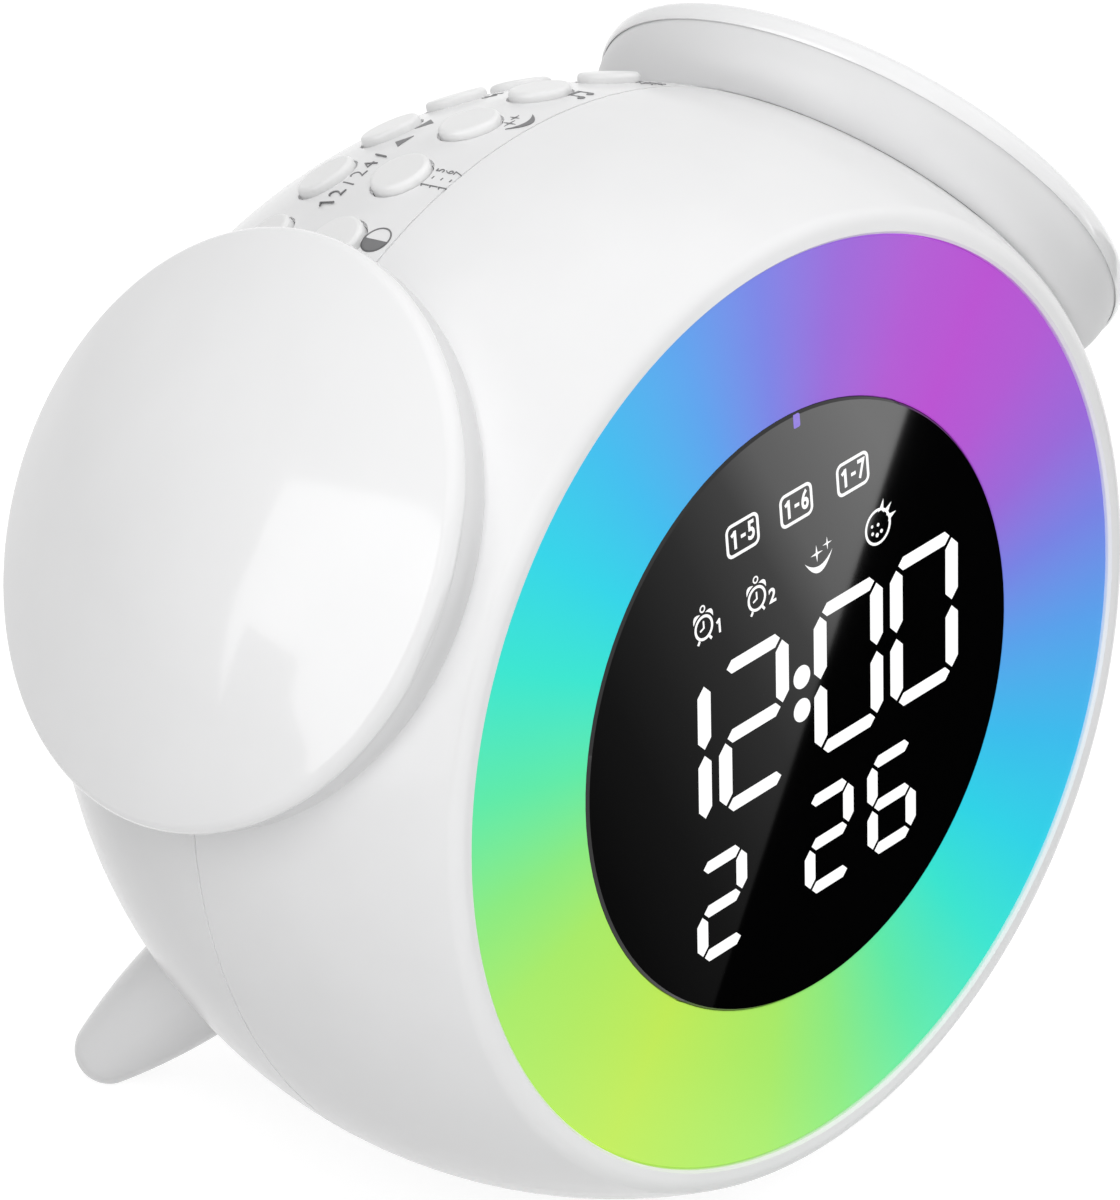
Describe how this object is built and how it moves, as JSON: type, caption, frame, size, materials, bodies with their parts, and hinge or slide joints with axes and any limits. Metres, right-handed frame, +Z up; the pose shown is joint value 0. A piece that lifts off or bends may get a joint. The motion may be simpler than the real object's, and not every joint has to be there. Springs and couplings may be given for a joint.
{
  "type": "sunrise alarm clock",
  "caption": "Ball-shaped bedside alarm clock with a glowing colour ring round a dark round display, two press-in ears, keys on top and rear legs that tip the face back.",
  "frame": {"origin": "on the table under the middle of the clock's bounding box", "axes": "+X to the right seen from the front, +Y backwards, +Z up; the face looks along -Y, tipped back"},
  "size_m": [0.1328, 0.0906, 0.1184],
  "materials": {
    "case_white": "glossy white plastic",
    "key_white": "satin white plastic",
    "ring_light": "milky light diffuser",
    "display_dark": "dark tinted glossy panel",
    "inner_white": "matte",
    "board_green": "coated circuit board",
    "lamp_yellow": "lamp chips",
    "component_dark": "moulded black",
    "segment_glow": "milky light bars",
    "mat_grey": "silicone",
    "foot_grey": "soft rubber",
    "cell_blue": "shrink sleeve",
    "cone_black": "paper cone",
    "bright_steel": "bright"
  },
  "bodies": {
    "case": {"front_shell": "case_white", "rear_shell": "case_white", "bezel_ring": "case_white", "colour_ring": "ring_light", "display_glass": "display_dark", "light_tray": "inner_white", "lamp_board": "board_green", "lamps": "lamp_yellow", "segment_box": "component_dark", "segment_bars": "segment_glow", "display_board": "board_green", "left_ear_base": "case_white", "right_ear_base": "case_white", "left_ear_switch": "component_dark", "right_ear_switch": "component_dark", "key_mat": "mat_grey", "key_board": "board_green", "main_board": "board_green", "board_parts": "component_dark", "battery_cell": "cell_blue", "battery_cradle": "inner_white", "speaker_basket": "component_dark", "speaker_cone": "cone_black", "inlet_socket": "bright_steel", "inlet_board": "board_green", "left_leg": "case_white", "right_leg": "case_white", "belly_foot": "foot_grey", "case_screws": "bright_steel", "leg_screws": "bright_steel", "board_screws": "bright_steel"},
    "brightness_key_body": {"brightness_key": "key_white"},
    "weekday_key_body": {"weekday_key": "key_white"},
    "sleep_key_body": {"sleep_key": "key_white"},
    "music_key_body": {"music_key": "key_white"},
    "lamp_key_body": {"lamp_key": "key_white"},
    "set_key_body": {"set_key": "key_white"},
    "hour_key_body": {"hour_key": "key_white"},
    "down_key_body": {"down_key": "key_white"},
    "volume_key_body": {"volume_key": "key_white"},
    "alarm_key_body": {"alarm_key": "key_white"},
    "left_ear_cap_body": {"left_ear_cap": "case_white"},
    "right_ear_cap_body": {"right_ear_cap": "case_white"}
  },
  "joints": [
    {"name": "brightness_press", "type": "slide", "parent": "case", "child": "brightness_key_body", "axis": [0.3979, -0.2886, -0.8708], "range_m": [0, 0.0005], "stiffness_N_per_m": 600, "springref_m": -0.0003},
    {"name": "weekday_press", "type": "slide", "parent": "case", "child": "weekday_key_body", "axis": [0.2259, -0.2947, -0.9285], "range_m": [0, 0.0005], "stiffness_N_per_m": 600, "springref_m": -0.0003},
    {"name": "sleep_press", "type": "slide", "parent": "case", "child": "sleep_key_body", "axis": [0.0462, -0.2973, -0.9537], "range_m": [0, 0.0005], "stiffness_N_per_m": 600, "springref_m": -0.0003},
    {"name": "music_press", "type": "slide", "parent": "case", "child": "music_key_body", "axis": [-0.1351, -0.2965, -0.9454], "range_m": [0, 0.0005], "stiffness_N_per_m": 600, "springref_m": -0.0003},
    {"name": "lamp_press", "type": "slide", "parent": "case", "child": "lamp_key_body", "axis": [-0.3118, -0.2921, -0.9041], "range_m": [0, 0.0005], "stiffness_N_per_m": 600, "springref_m": -0.0003},
    {"name": "set_press", "type": "slide", "parent": "case", "child": "set_key_body", "axis": [0.3728, -0.4809, -0.7936], "range_m": [0, 0.0005], "stiffness_N_per_m": 600, "springref_m": -0.0003},
    {"name": "hour_press", "type": "slide", "parent": "case", "child": "hour_key_body", "axis": [0.2116, -0.4866, -0.8476], "range_m": [0, 0.0005], "stiffness_N_per_m": 600, "springref_m": -0.0003},
    {"name": "down_press", "type": "slide", "parent": "case", "child": "down_key_body", "axis": [0.0433, -0.4891, -0.8712], "range_m": [0, 0.0005], "stiffness_N_per_m": 600, "springref_m": -0.0003},
    {"name": "volume_press", "type": "slide", "parent": "case", "child": "volume_key_body", "axis": [-0.1266, -0.4883, -0.8635], "range_m": [0, 0.0005], "stiffness_N_per_m": 600, "springref_m": -0.0003},
    {"name": "alarm_press", "type": "slide", "parent": "case", "child": "alarm_key_body", "axis": [-0.2921, -0.4842, -0.8247], "range_m": [0, 0.0005], "stiffness_N_per_m": 600, "springref_m": -0.0003},
    {"name": "left_ear_press", "type": "slide", "parent": "case", "child": "left_ear_cap_body", "axis": [0.8264, -0.1363, -0.5463], "range_m": [0, 0.0003], "stiffness_N_per_m": 1500, "springref_m": -0.0006},
    {"name": "right_ear_press", "type": "slide", "parent": "case", "child": "right_ear_cap_body", "axis": [-0.8264, -0.1363, -0.5463], "range_m": [0, 0.0003], "stiffness_N_per_m": 1500, "springref_m": -0.0006}
  ]
}
